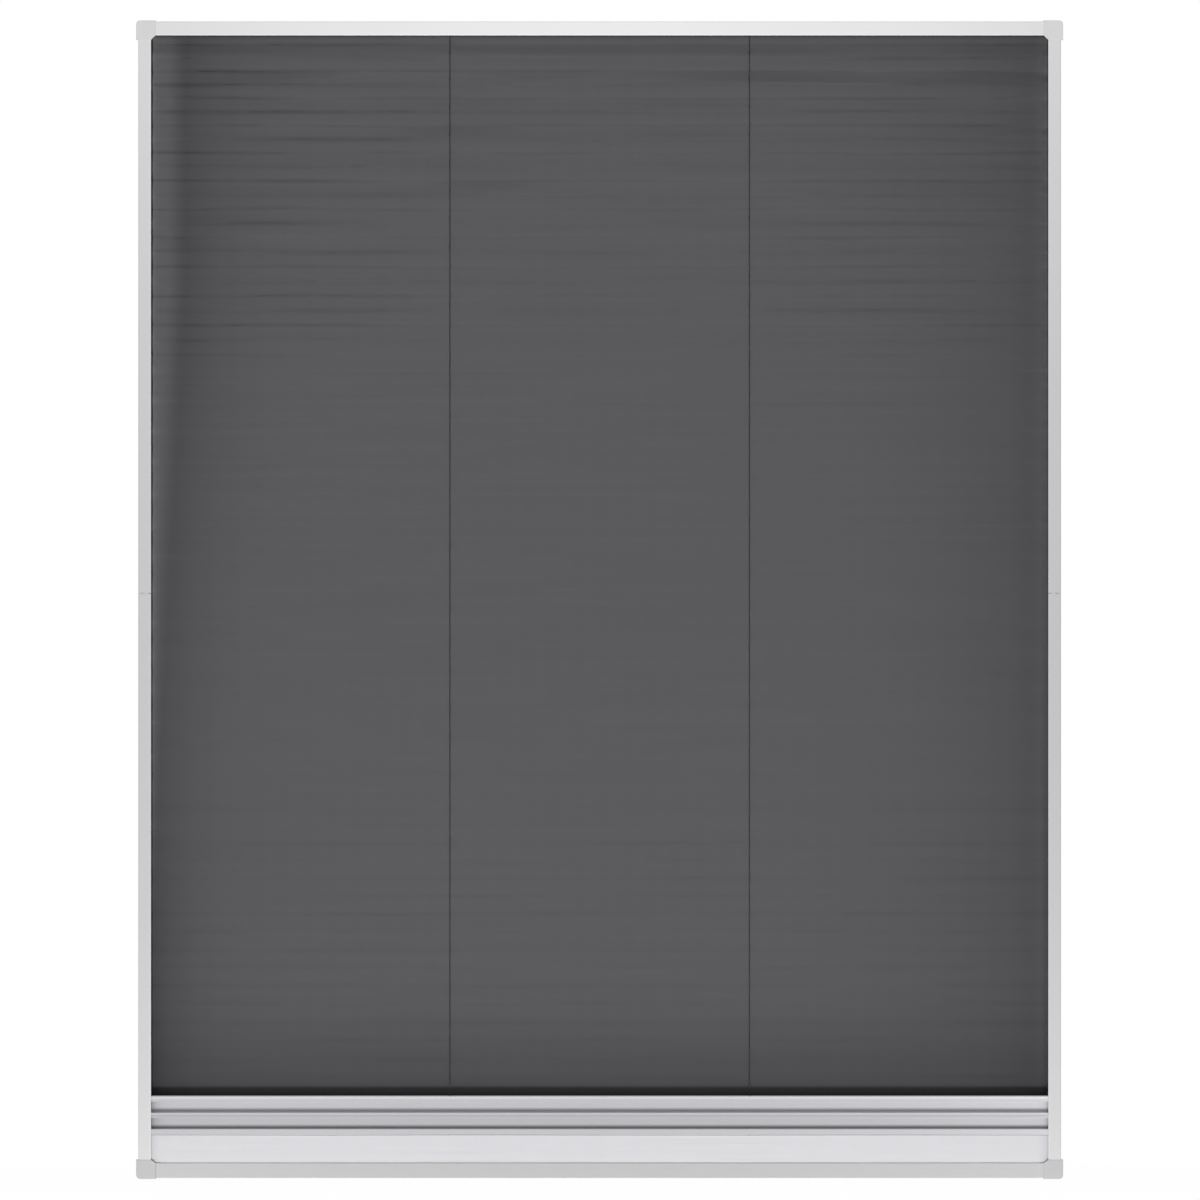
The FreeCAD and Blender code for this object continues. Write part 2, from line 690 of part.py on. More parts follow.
pierced_fabric("insect_mesh", mesh_outline())
pierced_fabric("shade_fabric", shade_outline())
doc.recompute()


# Every object has to be whole before anything is written.
for item in doc.Objects:
    if "Invalid" in item.State or "Error" in item.State:
        raise RuntimeError(f"{item.Label} did not build: {item.State}")
for piece in pieces:
    if piece.Shape.isNull() or not piece.Shape.isValid():
        raise RuntimeError(f"{piece.Label} has no valid shape")

os.makedirs("parts", exist_ok=True)
for piece in pieces:
    piece.Shape.exportStep(f"parts/{piece.Label}.step")
    box = piece.Shape.BoundBox
    low = f"{box.XMin:.2f} {box.YMin:.2f} {box.ZMin:.2f}"
    high = f"{box.XMax:.2f} {box.YMax:.2f} {box.ZMax:.2f}"
    print(f"{piece.Label}: {len(piece.Shape.Solids)} solid, {low} to {high}")
print(f"{len(pieces)} pieces, {mesh_pleats()[0]} pleats of mesh, {shade_layers()} of shade")
print(f"bar underside at {number(BAR_FOOT):.2f}, bar top at {number(BAR_TOP):.2f}")
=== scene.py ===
import math

import bpy
import numpy as np
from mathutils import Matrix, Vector


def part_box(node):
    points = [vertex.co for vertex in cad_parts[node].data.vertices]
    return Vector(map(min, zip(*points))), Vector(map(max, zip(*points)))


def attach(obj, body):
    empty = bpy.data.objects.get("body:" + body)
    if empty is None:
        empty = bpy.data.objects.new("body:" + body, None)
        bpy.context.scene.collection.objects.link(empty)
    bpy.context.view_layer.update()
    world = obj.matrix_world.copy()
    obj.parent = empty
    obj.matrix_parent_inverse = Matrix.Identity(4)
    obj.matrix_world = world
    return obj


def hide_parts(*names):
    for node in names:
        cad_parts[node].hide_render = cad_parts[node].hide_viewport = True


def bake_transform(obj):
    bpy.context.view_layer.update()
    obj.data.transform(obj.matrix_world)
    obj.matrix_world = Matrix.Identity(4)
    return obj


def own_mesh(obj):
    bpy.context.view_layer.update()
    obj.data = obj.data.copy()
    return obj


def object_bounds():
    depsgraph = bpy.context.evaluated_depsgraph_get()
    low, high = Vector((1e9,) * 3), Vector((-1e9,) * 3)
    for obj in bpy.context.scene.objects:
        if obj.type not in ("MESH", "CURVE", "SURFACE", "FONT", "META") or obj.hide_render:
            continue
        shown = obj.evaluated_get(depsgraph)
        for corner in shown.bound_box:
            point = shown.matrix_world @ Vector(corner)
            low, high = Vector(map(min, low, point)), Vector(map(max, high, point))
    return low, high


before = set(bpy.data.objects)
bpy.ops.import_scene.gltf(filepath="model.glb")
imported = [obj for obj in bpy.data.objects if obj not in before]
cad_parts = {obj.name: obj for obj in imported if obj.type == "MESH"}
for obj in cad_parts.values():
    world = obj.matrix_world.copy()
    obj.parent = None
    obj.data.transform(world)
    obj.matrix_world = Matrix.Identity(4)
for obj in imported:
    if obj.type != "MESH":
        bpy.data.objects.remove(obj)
cadLow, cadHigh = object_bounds()
print("frame loaded:", len(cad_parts), "nodes")


# Places and sizes taken from the frame

meshLow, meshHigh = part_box("insect_mesh")
shadeLow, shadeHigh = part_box("shade_fabric")
cordLow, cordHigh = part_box("cord_right")
cordAcross = (cordLow.x + cordHigh.x) / 2
cordRadius = (cordHigh.x - cordLow.x) / 2
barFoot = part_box("pull_bar")[0].z
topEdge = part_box("top_rail")[0].z
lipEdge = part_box("bottom_rail")[1].z
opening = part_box("right_rail_upper")[0].x  # half the way from side rail to side rail
sides = ("left", "right")


# Node helpers

class Field:
    # One output of a shader node. Arithmetic on it adds Math nodes, and node() adds any other.
    def __init__(self, tree, socket=None):
        self.tree = tree
        self.socket = socket

    def node(self, kind, settings=None, values=None, out=0):
        made = self.tree.nodes.new(kind)
        for name, value in (settings or {}).items():
            setattr(made, name, value)
        for name, value in (values or {}).items():
            if isinstance(value, Field):
                self.tree.links.new(value.socket, made.inputs[name])
            else:
                made.inputs[name].default_value = value
        return Field(self.tree, made.outputs[out])

    def math(self, operation, *others):
        values = dict(enumerate((self,) + others))
        return self.node("ShaderNodeMath", {"operation": operation}, values)

    def __add__(self, other):
        return self.math("ADD", other)

    __radd__ = __add__

    def __mul__(self, other):
        return self.math("MULTIPLY", other)

    __rmul__ = __mul__

    def __sub__(self, other):
        return self.math("SUBTRACT", other)

    def __rsub__(self, other):
        return self * -1 + other

    def __truediv__(self, other):
        return self.math("DIVIDE", other)


def newMaterial(name):
    # A material with its shader node and a Field to build on.
    made = bpy.data.materials.new(name)
    made.use_nodes = True
    shader = made.node_tree.nodes["Principled BSDF"]
    return made, shader, Field(made.node_tree)


def feed(base, shader, name, value):
    base.tree.links.new(value.socket, shader.inputs[name])


def grey(level, tint=(1.0, 1.0, 1.0)):
    return (level * tint[0], level * tint[1], level * tint[2], 1.0)


def mixColours(base, factor, first, second, blend="MIX"):
    # Colour mix: first where factor is 0, second where it is 1.
    return base.node(
        "ShaderNodeMix",
        {"data_type": "RGBA", "blend_type": blend},
        {0: factor, 6: first, 7: second},
        out=2,
    )


def toned(base, tone, colour):
    # A colour times a tone, a number that changes over the surface.
    shade = base.node("ShaderNodeCombineColor", None, {0: tone, 1: tone, 2: tone})
    return mixColours(base, 1.0, shade, colour, "MULTIPLY")


def objectPlace(base):
    return base.node("ShaderNodeTexCoord", out=3)


def component(base, vector, axis):
    # One of a vector's three numbers: 0 across, 1 back, 2 up.
    return base.node("ShaderNodeSeparateXYZ", None, {0: vector}, out=axis)


def ramp(base, value, start, end, smooth=False):
    # From 0 at start to 1 at end, and level outside.
    kind = "SMOOTHSTEP" if smooth else "LINEAR"
    values = {"Value": value, "From Min": start, "From Max": end}
    return base.node("ShaderNodeMapRange", {"interpolation_type": kind}, values)


def rising(base, value, step, smooth=True):
    # From 0 at a step's start to its amount at its end.
    start, end, amount = step
    return ramp(base, value, start, end, smooth) * amount


def levels(base, value, first, changes):
    # Starts at first, and each change is given by its middle, its width and its amount.
    total = first
    for middle, width, amount in changes:
        total = rising(base, value, (middle - width / 2, middle + width / 2, amount)) + total
    return total


def centred(value, middle, spread):
    # A value from 0 to 1 turned into one from half a spread below the middle to half above.
    return value * spread + (middle - spread / 2)


def fading(distance, reach):
    # 1 up to no distance, and e times less for each reach beyond.
    return (distance.math("MAXIMUM", 0.0) / -reach).math("EXPONENT")


def thinLine(value, place, half):
    # 1 on the place, falling evenly to 0 at half a width to each side.
    return 1 - ((value - place).math("ABSOLUTE") / half).math("MINIMUM", 1.0)


def waves(base, coordinate, pitch):
    # From 0 between two yarns to 1 on a yarn, once for each pitch.
    return (coordinate * (2 * math.pi / pitch)).math("SINE") * 0.5 + 0.5


def stretched(base, place, scale):
    return base.node("ShaderNodeMapping", None, {"Vector": place, "Scale": scale})


def noise(base, place, scale, detail=2.0, roughness=0.5):
    values = {"Vector": place, "Scale": scale, "Detail": detail, "Roughness": roughness}
    return base.node("ShaderNodeTexNoise", None, values)


def bump(base, height, distance, strength=1.0, under=None):
    # Bumps by height, on the normal that lies under them where one is given.
    values = {"Height": height, "Distance": distance, "Strength": strength}
    if under:
        values["Normal"] = under
    return base.node("ShaderNodeBump", None, values)


def levelNormal(base, share):
    # The surface's normal with its upright part cut to a share. Round yarns that run across
    # catch light from above and below alike, whichever way a pleat slopes.
    straight = base.node("ShaderNodeNewGeometry", out=1)
    cut = base.node(
        "ShaderNodeVectorMath", {"operation": "MULTIPLY"}, {0: straight, 1: (1.0, 1.0, share)}
    )
    return base.node("ShaderNodeVectorMath", {"operation": "NORMALIZE"}, {0: cut})


# Painted rails and bar

powderCoat = {
    # Every rail and the bar wear one white coat: their different levels and the change of tone
    # towards their ends are painted light and shade. Of the lines, those on the inner edges of the
    # top and side rails are painted highlights, those on the side rails' outer edges and the bottom
    # rail's inner edge are painted shade, and those at joints are dark joint lines.
    "rails": {
        "top": {
            "node": "top_rail",
            "level": 0.86,
            "ends": (-0.15, -0.15),
            "lines": ((2, 0, 0.0016, 0.12),),
        },
        "left": {
            "node": "left_rail_lower",
            "level": 0.6,
            "ends": (0.32, 0.17),
            "lines": ((0, 1, 0.0018, 0.14), (0, 0, 0.0012, -0.1), (2, 1, 0.0009, -0.3)),
        },
        "right": {
            "node": "right_rail_lower",
            "level": 0.57,
            "ends": (0.34, 0.19),
            "lines": ((0, 0, 0.0018, 0.1), (0, 1, 0.0012, -0.1), (2, 1, 0.0009, -0.3)),
        },
        "bottom": {
            "node": "bottom_rail",
            "level": 0.577,
            "ends": (0.08, 0.08),
            "lines": ((2, 1, 0.0012, -0.04), (0, 0, 0.001, -0.3), (0, 1, 0.001, -0.12)),
        },
        "bar": {
            "node": "pull_bar",
            "level": 0.62,
            "ends": (0.02, 0.2),
            "lines": (),
            "tint": (1.0, 1.0, 1.04),
        },
    },
    "tint": (1.0, 1.0, 1.01),
    "cloudScale": 9.0,
    "cloudSpread": 0.03,
    "roughness": 0.42,
    "roughnessSpread": 0.1,
    "peelScale": 900.0,
    "peelHeight": 0.000012,
    "drawnScale": (3.0, 700.0),
    "drawnHeight": 0.000004,
}

barPaintedShading = {
    "first": 0.955,
    "changes": (
        (0.0055, 0.0016, -0.595),
        (0.0083, 0.0022, 0.5),
        (0.0156, 0.0008, -0.1),
        (0.0173, 0.0007, 0.21),
        (0.0202, 0.0016, -0.57),
        (0.0228, 0.0022, 0.545),
        (0.028, 0.0008, -0.03),
        (0.0303, 0.0012, 0.085),
        (0.0314, 0.0006, 0.2),
    ),
    "grooveDepth": 0.0075,
    "paintedEndShadow": 0.5,
    "leftReach": 0.004,
    "rightReach": 0.0015,
}


def paintBarShade(base, place):
    # Painted shade and highlight up the bar: the tone changes from ridge to groove, darkest in a
    # painted shadow above each ridge and lightest in a painted highlight at the top edge, and
    # painted shadows of the side rails darken the grooves at their ends.
    values = barPaintedShading
    height = component(base, place, 2) - barFoot
    tone = levels(base, height, values["first"], values["changes"])
    across = component(base, place, 0)
    inGroove = component(base, place, 1).math("ABSOLUTE").math("LESS_THAN", values["grooveDepth"])
    left = fading(across + opening, values["leftReach"])
    right = fading(opening - across, values["rightReach"])
    return tone * (1 - inGroove * (left + right) * values["paintedEndShadow"])


def makePowderCoat(which):
    # Sprayed and baked paint on an extrusion: a fine orange peel over faint drawn lines. The coat's
    # tone changes with the square of the way from the rail's middle to its ends, which is painted
    # light and shade, and in thin lines at its edges and joints: painted highlights and shade at
    # the edges, dark lines at the joints. Each line has the axis and end of the box that it lies
    # on, half its width and its change of tone.
    values = powderCoat
    rail = values["rails"][which]
    made, shader, base = newMaterial(which + "RailFinish")
    place = objectPlace(base)
    axis = 2 if which in sides else 0
    middle = (cadLow[axis] + cadHigh[axis]) / 2
    way = (component(base, place, axis) - middle) / ((cadHigh[axis] - cadLow[axis]) / 2)
    lowEnd, highEnd = rail["ends"]
    # Painted light and shade that change the tone towards the rail's ends.
    paintedLift = way * way * (way * ((highEnd - lowEnd) / 2) + (highEnd + lowEnd) / 2)
    cloud = centred(noise(base, place, values["cloudScale"], 3.0), 0.0, values["cloudSpread"])
    tone = paintedLift + cloud + 1
    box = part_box(rail["node"])
    # Painted highlights and shade along the edges, and dark lines at the joints.
    for lineAxis, end, half, change in rail["lines"]:
        line = thinLine(component(base, place, lineAxis), box[end][lineAxis], half)
        tone = tone * (line * change + 1)
    # Painted shade and highlight on the bar's ridges and grooves.
    if which == "bar":
        tone = tone * paintBarShade(base, place)
    colour = grey(rail["level"], rail.get("tint", values["tint"]))
    feed(base, shader, "Base Color", toned(base, tone, colour))
    peel = noise(base, place, values["peelScale"], 1.0)
    rough = centred(peel, values["roughness"], values["roughnessSpread"])
    feed(base, shader, "Roughness", rough)
    slow, fast = values["drawnScale"]
    scale = (fast, fast, slow) if axis == 2 else (slow, fast, fast)
    drawn = bump(base, noise(base, stretched(base, place, scale), 1.0), values["drawnHeight"])
    feed(base, shader, "Normal", bump(base, peel, values["peelHeight"], 1.0, drawn))
    return made


# Joiners, corner pieces and small parts

plainMetal = {
    "level": 0.6,
    "shades": (0.92, 1.06),
    "roughness": 0.3,
    "roughnessSpread": 0.2,
    "lineScale": (900.0, 900.0, 4.0),
    "lineHeight": 0.000006,
}


def makePlainMetal(name):
    # Mill-finished aluminium with the die's lines along it.
    values = plainMetal
    made, shader, base = newMaterial(name)
    lines = noise(base, stretched(base, objectPlace(base), values["lineScale"]), 1.0, 3.0)
    low, high = [grey(values["level"] * shade) for shade in values["shades"]]
    feed(base, shader, "Base Color", mixColours(base, lines, low, high))
    rough = centred(lines, values["roughness"], values["roughnessSpread"])
    feed(base, shader, "Roughness", rough)
    feed(base, shader, "Normal", bump(base, lines, values["lineHeight"]))
    shader.inputs["Metallic"].default_value = 1.0
    return made


mouldedPlastic = {
    # One plastic for all corner pieces, set darker at the bottom and lighter at the top as painted
    # shade and light.
    "cornerLitLevels": {"bottom": 0.588, "top": 0.672},
    "stripLevel": 0.6,
    "shades": (0.97, 1.03),
    "cloudScale": 60.0,
    "roughness": 0.5,
    "roughnessSpread": 0.16,
    "sparkScale": 1600.0,
    "sparkHeight": 0.00001,
}


def makePlastic(name, level):
    # Moulded plastic with the even, spark-eroded grain of its mould.
    values = mouldedPlastic
    made, shader, base = newMaterial(name)
    place = objectPlace(base)
    grain = noise(base, place, values["sparkScale"], 2.0, 0.6)
    cloud = noise(base, place, values["cloudScale"])
    low, high = [grey(level * shade) for shade in values["shades"]]
    feed(base, shader, "Base Color", mixColours(base, cloud, low, high))
    rough = centred(grain, values["roughness"], values["roughnessSpread"])
    feed(base, shader, "Roughness", rough)
    feed(base, shader, "Normal", bump(base, grain, values["sparkHeight"]))
    return made


# Dark mesh

meshWeave = {
    "pitchAcross": 0.0009,
    "pitchAlong": 0.001,
    "yarn": 0.135,
    "gap": 0.055,
    "tint": (1.0, 0.982, 1.05),
    "yarnHeight": 0.00012,
    "yarnStrength": 0.5,
    "uprightness": 0.04,
    "roughness": 0.75,
    "specular": 0.2,
    "streakScale": (5.0, 1.0, 150.0),
    "streakSpread": 0.08,
    "cloudScale": 3.0,
    "cloudSpread": 0.06,
    "paintedLift": (0.124, 0.05),
    "lower": (0.084, 1.2),
    "evenPower": 1.25,
    "cordShade": 0.15,
    "cordWidth": 0.00065,
}

# A step has its start, its end and its amount: up the cloth, out from its middle, or leftwards.
meshCreaseShade = {
    "band": 0.3,
    "bandWidth": 0.0045,
    "bandScale": (7.0, 73.0, 1.0),
    "bandRange": (0.36, 0.66),
    "stroke": 0.3,
    "strokeWidth": 0.0013,
    "strokeScale": (30.0, 73.0, 1.0),
    "strokeRange": (0.54, 0.7),
    "upperSteps": ((0.64, 0.69, 0.85), (0.85, 0.98, 0.3)),
    "lowerStep": (0.27, 0.17, 0.2),
    "outwardStep": (0.1, 0.26, 0.65),
    "leftwardStep": (0.2, -0.1, 0.35),
    "least": 0.05,
}

# A range is a part of the cloth's length, from 0 at the bar to 1 at the top.
meshPaintedShade = {
    "leftDark": 0.34,
    "leftPlace": (-0.0039, 0.0482, 0.031),
    "leftInner": 0.039,
    "leftOuter": 0.02,
    "lowLeftDark": 0.22,
    "lowLeftReach": 0.018,
    "lowLeftRange": (0.3, 0.12),
    "rightDark": 0.28,
    "rightPlace": 0.016,
    "rightInner": 0.095,
    "rightOuter": 0.022,
    "barDark": 0.32,
    "barReach": 0.065,
    "footDark": 0.75,
    "footReach": 0.0058,
    "topDark": 0.6,
    "topReach": 0.0016,
    "topSlope": 1.45,
    "glow": ((2.4, 0.0017), (0.14, 0.012)),
    "glowRange": (0.0, 0.35),
    "glowLeast": 0.4,
    "rightGlow": (1.1, 0.0021),
    "rightGlowRange": (0.25, 0.8),
    "lineDark": 0.42,
    "lineRange": (0.36, 0.6),
    "lineWidth": 0.0013,
    "lineSoftness": 0.0003,
}


def paintedCreaseShade(base, cloth, across, high, away):
    # Painted shade along each crease: a soft dark band with thin dark strokes in it, here strong
    # and there faint: strongest near the top and on the left, and hardly there at mid height.
    values = meshCreaseShade
    first, second = [rising(base, high, step) for step in values["upperSteps"]]
    upper = first + second
    lower = rising(base, high, values["lowerStep"])
    step = values["outwardStep"]
    outward = rising(base, across.math("ABSOLUTE"), step) + (1 - step[2])
    step = values["leftwardStep"]
    leftward = rising(base, across, step, False) + (1 - step[2])
    patch = noise(base, stretched(base, cloth, values["bandScale"]), 1.0)
    spot = noise(base, stretched(base, cloth, values["strokeScale"]), 1.0)
    band = thinLine(away, 0.0, values["bandWidth"]) * ramp(base, patch, *values["bandRange"])
    stroke = thinLine(away, 0.0, values["strokeWidth"]) * ramp(base, spot, *values["strokeRange"])
    line = band * values["band"] + stroke * values["stroke"]
    return line * (upper * outward * leftward + lower + values["least"])


def clothPaintedShade(base, across, along, length):
    # The cloth stands askew beside the side channels and above the bar, and there it is painted
    # darker as painted shade: on the left in a band that drifts outwards lower down, on the right
    # in a broad one, and above the bar as the bar's painted shadow. Under the top rail, past the
    # part that the rail hides, a painted shadow makes a thin dark line.
    values = meshPaintedShade
    high = along / length
    fromLeft = across + opening
    fromRight = opening - across
    start, drift, most = values["leftPlace"]
    beyond = fromLeft - (high * drift + start).math("MINIMUM", most)
    left = ramp(base, beyond, -values["leftOuter"], 0.0, True)
    left = left * fading(beyond, values["leftInner"]) * values["leftDark"]
    lowLeft = ramp(base, high, *values["lowLeftRange"], True)
    lowLeft = lowLeft * fading(fromLeft, values["lowLeftReach"]) * values["lowLeftDark"]
    beyond = fromRight - values["rightPlace"]
    right = ramp(base, beyond, -values["rightOuter"], 0.0, True)
    right = right * fading(beyond, values["rightInner"]) * values["rightDark"]
    squared = along * along / values["barReach"]
    bar = fading(squared, values["barReach"]) * values["barDark"]
    foot = fading(along, values["footReach"]) * values["footDark"]
    hidden = (meshHigh.z - topEdge) * values["topSlope"]
    top = fading(length - along - hidden, values["topReach"]) * values["topDark"]
    tone = (1 - left) * (1 - lowLeft) * (1 - right) * (1 - bar) * (1 - foot) * (1 - top)

    # Right beside the rails painted light lifts the cloth, past a thin dark line of painted shade.
    width = values["lineWidth"]
    soft = values["lineSoftness"]
    least = values["glowLeast"]
    (first, firstReach), (second, secondReach) = values["glow"]
    glow = fading(fromLeft, firstReach) * first + fading(fromLeft, secondReach) * second
    past = ramp(base, fromLeft, width, width + soft)
    glow = glow * past * (ramp(base, high, *values["glowRange"]) * (1 - least) + least)
    line = (1 - past) * ramp(base, high, *values["lineRange"]) * values["lineDark"]
    size, reach = values["rightGlow"]
    past = ramp(base, fromRight, width - soft, width)
    rightGlow = fading(fromRight, reach) * past * ramp(base, high, *values["rightGlowRange"]) * size
    return tone * (glow + 1) * (rightGlow + 1) * (1 - line)


def paintedPleatLight(base, turns, high):
    # Painted light and shade that even the pleats out, standing in for light that comes through the
    # open weave: it lifts the valleys, which shade themselves, and leaves the crests duller, most
    # where the pleats are deepest. Every second crease is a valley, and turns counts the creases.
    values = meshWeave
    size, shift = values["paintedLift"]
    valley = ((turns + shift) * math.pi).math("COSINE")
    paintedLift = (valley * 0.5 + 0.5).math("POWER", 4.0) * size
    size, shift = values["lower"]
    crest = ((turns - shift) * math.pi).math("COSINE")
    return (paintedLift - (crest * 0.5 + 0.5) * size) * high.math("POWER", values["evenPower"]) + 1


def makeMeshFinish(fold, length):
    # Woven yarn on the cloth's own map, which holds metres across and metres along the cloth.
    values = meshWeave
    made, shader, base = newMaterial("darkMeshFinish")
    made.cycles.use_bump_map_correction = False
    cloth = base.node("ShaderNodeUVMap", {"uv_map": "cloth"})
    place = objectPlace(base)
    across = component(base, cloth, 0)
    along = component(base, cloth, 1)
    high = along / length
    turns = along / fold
    warp = waves(base, across, values["pitchAcross"])
    weft = waves(base, along, values["pitchAlong"])
    yarn = warp.math("MAXIMUM", weft)
    tint = values["tint"]
    colour = mixColours(base, yarn, grey(values["gap"], tint), grey(values["yarn"], tint))
    streak = noise(base, stretched(base, place, values["streakScale"]), 1.0, 3.0)
    cloud = noise(base, place, values["cloudScale"])
    tone = centred(streak, 1, values["streakSpread"]) * centred(cloud, 1, values["cloudSpread"])
    # Painted light and shade on the pleats, beside the rails and around the bar.
    tone = tone * paintedPleatLight(base, turns, high) * clothPaintedShade(base, across, along, length)
    away = ((turns + 0.5).math("FRACT") - 0.5) * fold
    tone = tone * (1 - paintedCreaseShade(base, cloth, across, high, away))

    # The cord behind a pleat darkens the mesh in front of it.
    near = (across.math("ABSOLUTE") - cordAcross).math("ABSOLUTE") / values["cordWidth"]
    behind = (1 - near.math("MINIMUM", 1.0)).math("SQRT")
    behind = behind * component(base, place, 1).math("LESS_THAN", cordRadius)
    tone = tone * (1 - behind * (1 - values["cordShade"]))
    feed(base, shader, "Base Color", toned(base, tone, colour))
    shader.inputs["Roughness"].default_value = values["roughness"]
    shader.inputs["Specular IOR Level"].default_value = values["specular"]
    normal = levelNormal(base, values["uprightness"])
    woven = bump(base, yarn, values["yarnHeight"], values["yarnStrength"], normal)
    feed(base, shader, "Normal", woven)
    return made


# White shade and dark cords

shadeCloth = {
    "level": 0.84,
    "shades": (0.98, 1.02),
    "tint": (1.0, 0.992, 1.025),
    "cloudScale": 40.0,
    "cloudShare": 0.7,
    "threadPitch": 0.0006,
    "threadHeight": 0.00004,
    "threadStrength": 0.5,
    "uprightness": 0.2,
    "roughness": 0.85,
    "sheen": 0.15,
}


def makeShadeFinish():
    # Close white fabric: a plain weave too fine to see through, and soft sheen at the folds.
    values = shadeCloth
    made, shader, base = newMaterial("whiteShadeFinish")
    cloth = base.node("ShaderNodeUVMap", {"uv_map": "cloth"})
    warp, weft = [waves(base, component(base, cloth, way), values["threadPitch"]) for way in (0, 1)]
    weave = warp * weft
    cloud = noise(base, objectPlace(base), values["cloudScale"], 3.0)
    low, high = [grey(values["level"] * shade, values["tint"]) for shade in values["shades"]]
    mix = cloud * values["cloudShare"] + weave * (1 - values["cloudShare"])
    feed(base, shader, "Base Color", mixColours(base, mix, low, high))
    shader.inputs["Roughness"].default_value = values["roughness"]
    shader.inputs["Sheen Weight"].default_value = values["sheen"]
    normal = levelNormal(base, values["uprightness"])
    woven = bump(base, weave, values["threadHeight"], values["threadStrength"], normal)
    feed(base, shader, "Normal", woven)
    return made


cordYarn = {
    "low": 0.006,
    "high": 0.03,
    "crownShare": 0.6,
    "fibreScale": (9000.0, 9000.0, 1500.0),
    "fibreHeight": 0.00002,
    "roughness": 0.6,
}


def makeCordFinish():
    # Dark twisted polyester, with painted light on the crown of each strand and painted shade
    # between the strands.
    values = cordYarn
    made, shader, base = newMaterial("darkCordFinish")
    crown = component(base, base.node("ShaderNodeUVMap", {"uv_map": "strand"}), 0)
    fibre = noise(base, stretched(base, objectPlace(base), values["fibreScale"]), 1.0)
    mix = crown * values["crownShare"] + fibre * (1 - values["crownShare"])
    low, high = grey(values["low"]), grey(values["high"])
    feed(base, shader, "Base Color", mixColours(base, mix, low, high))
    shader.inputs["Roughness"].default_value = values["roughness"]
    feed(base, shader, "Normal", bump(base, fibre, values["fibreHeight"]))
    return made


# Meshes from arrays

def gridFaces(rows, columns, closed=False):
    # Corner numbers of the quads of a grid of points, with the last column joined to the first
    # where the grid is closed.
    starts = np.arange(columns if closed else columns - 1)
    right = (starts + 1) % columns
    row = np.arange(rows - 1)[:, None] * columns
    return np.stack(
        [row + starts, row + right, row + columns + right, row + columns + starts], axis=-1
    )


def newPiece(name, points, quads, finish, mapName=None, mapPoints=None, extra=()):
    # A mesh object from an array of points and an array of quads, with an optional map.
    mesh = bpy.data.meshes.new(name)
    corners = quads.reshape(-1, 4)
    faces = corners.tolist() + [list(face) for face in extra]
    mesh.from_pydata(points.reshape(-1, 3).tolist(), [], faces)
    if mapName:
        layer = mesh.uv_layers.new(name=mapName)
        loops = np.zeros(len(mesh.loops), np.int32)
        mesh.loops.foreach_get("vertex_index", loops)
        layer.data.foreach_set("uv", mapPoints.reshape(-1, 2)[loops].astype(np.float32).ravel())
    mesh.shade_smooth()
    mesh.materials.append(finish)
    piece = bpy.data.objects.new(name, mesh)
    bpy.context.scene.collection.objects.link(piece)
    return piece


def giveThickness(piece, thickness):
    solid = piece.modifiers.new("thickness", "SOLIDIFY")
    solid.thickness = thickness
    solid.offset = 0.0
    solid.use_even_offset = False
    solid.use_rim = True


def wander(rng, count, across, sines, amount):
    # One smooth random line for each of count creases: a sum of sines across the width.
    phase = rng.uniform(0, 2 * np.pi, (count, 1, sines))
    size = rng.normal(0, 1, (count, 1, sines)) / np.sqrt(sines)
    turns = rng.uniform(0.6, 4.5, (count, 1, sines))
    return amount * (size * np.sin(2 * np.pi * turns * across[None, :, None] + phase)).sum(-1)


# Insect mesh

pleatedMesh = {
    "pleats": 67,
    "fold": 0.017,
    "spread": 0.17,
    "thickness": 0.0003,
    "columns": 76,
    "rowShares": (0.0, 0.05, 0.18, 0.385, 0.615, 0.82, 0.95),
    "roundness": 0.994,
    "wanderHeight": (5, 0.00035),
    "wanderDepth": (4, 0.06),
    "heldPleats": 4,
    "holeWidth": 0.0008,
    "holeSteps": (0.5, 1.0, 2.0, 4.0),
    "bowLeft": (-0.0018, 0.022),
    "bowRight": (0.0022, 0.045),
    "bowPleats": 3,
    "barSetBack": (0.0032, 2.5),
    "seed": 11,
}


def creasePlaces(values, low, high):
    # Height and depth of every crease. The pitch grows evenly from the top down, and what a
    # pleat's height leaves of its fold is its depth.
    count = values["pleats"]

    def pitch(number):
        return (high - low) / count * (1 + values["spread"] * (1 - 2 * number / (count - 1)))

    height = low + np.concatenate([[0.0], np.cumsum(pitch(np.arange(count)))])
    near = pitch(np.clip(np.arange(count + 1) - 0.5, 0, count - 1))
    depth = np.sqrt(values["fold"] ** 2 - near**2) / 2
    return height, depth


def clothColumns(low, high, count, steps):
    # Places across the cloth: evenly spaced, and at steps to each side of both cords, of which
    # the first is the edge of a hole.
    even = np.linspace(low, high, count)
    near = [[side * cordAcross + way * steps for side in (-1, 1)] for way in (-1, 1)]
    near = np.array(near).ravel()
    clear = np.abs(even[:, None] - near[None, :]).min(axis=1) > steps[0]
    return np.sort(np.concatenate([even[clear], near]))


